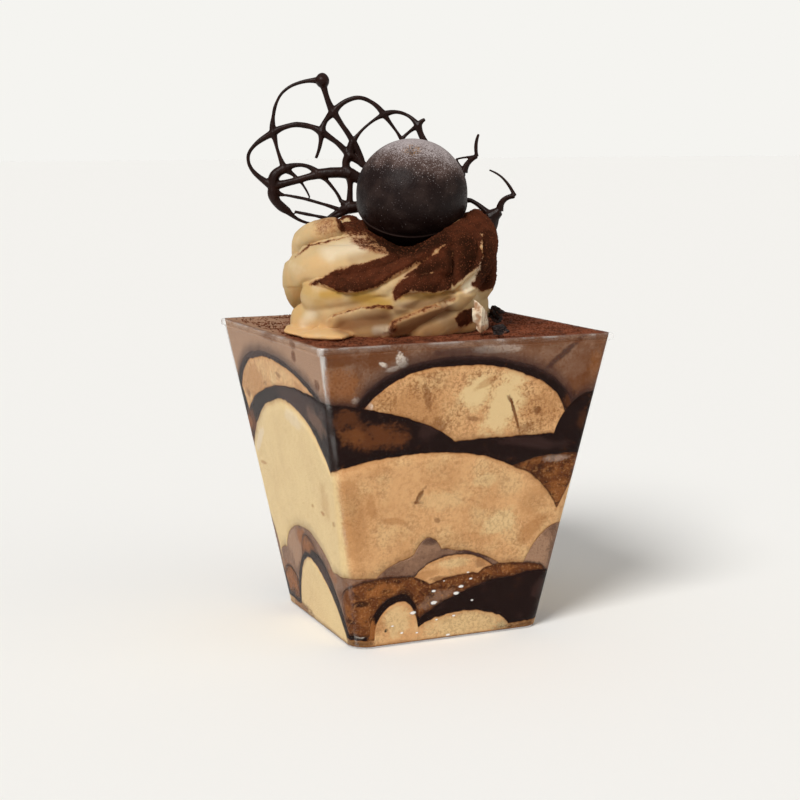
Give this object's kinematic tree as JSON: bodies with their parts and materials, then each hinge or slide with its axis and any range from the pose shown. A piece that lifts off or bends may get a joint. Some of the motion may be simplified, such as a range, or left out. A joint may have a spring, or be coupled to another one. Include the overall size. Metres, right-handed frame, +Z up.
{
  "type": "layered tiramisu in a cup",
  "caption": "Layered coffee and cream dessert in a clear square cup, with a piped cream swirl, a chocolate truffle and a piped chocolate lattice on top.",
  "frame": {"origin": "centre of the cup's underside", "axes": "+Z up; -Y out of the wide front face, -X out of the face to its left, so the nearest corner is (-X, -Y)"},
  "size_m": [0.065, 0.065, 0.118],
  "materials": {
    "cup": "clear",
    "cream_lower": "satin",
    "chocolate_lower": "glossy",
    "sponge_lower": "rough",
    "cream_pocket": "satin",
    "mousse_lower": "satin",
    "cream_middle": "satin",
    "sponge_middle": "rough",
    "chocolate_middle": "glossy",
    "cream_upper": "satin",
    "chocolate_upper": "glossy",
    "mousse_upper": "satin",
    "cocoa_top": "dusty",
    "cream_swirl": "satin",
    "truffle": "satin",
    "lattice": "glossy",
    "cream_shard": "matte",
    "chocolate_chip_rear": "matte",
    "chocolate_chip_front": "matte"
  },
  "bodies": {
    "root": {"cup": "cup", "cream_lower": "cream_lower", "chocolate_lower": "chocolate_lower", "sponge_lower": "sponge_lower", "cream_pocket": "cream_pocket", "mousse_lower": "mousse_lower", "cream_middle": "cream_middle", "sponge_middle": "sponge_middle", "chocolate_middle": "chocolate_middle", "cream_upper": "cream_upper", "chocolate_upper": "chocolate_upper", "mousse_upper": "mousse_upper", "cocoa_top": "cocoa_top", "cream_swirl": "cream_swirl", "truffle": "truffle", "lattice": "lattice", "cream_shard": "cream_shard", "chocolate_chip_rear": "chocolate_chip_rear", "chocolate_chip_front": "chocolate_chip_front"}
  },
  "joints": []
}
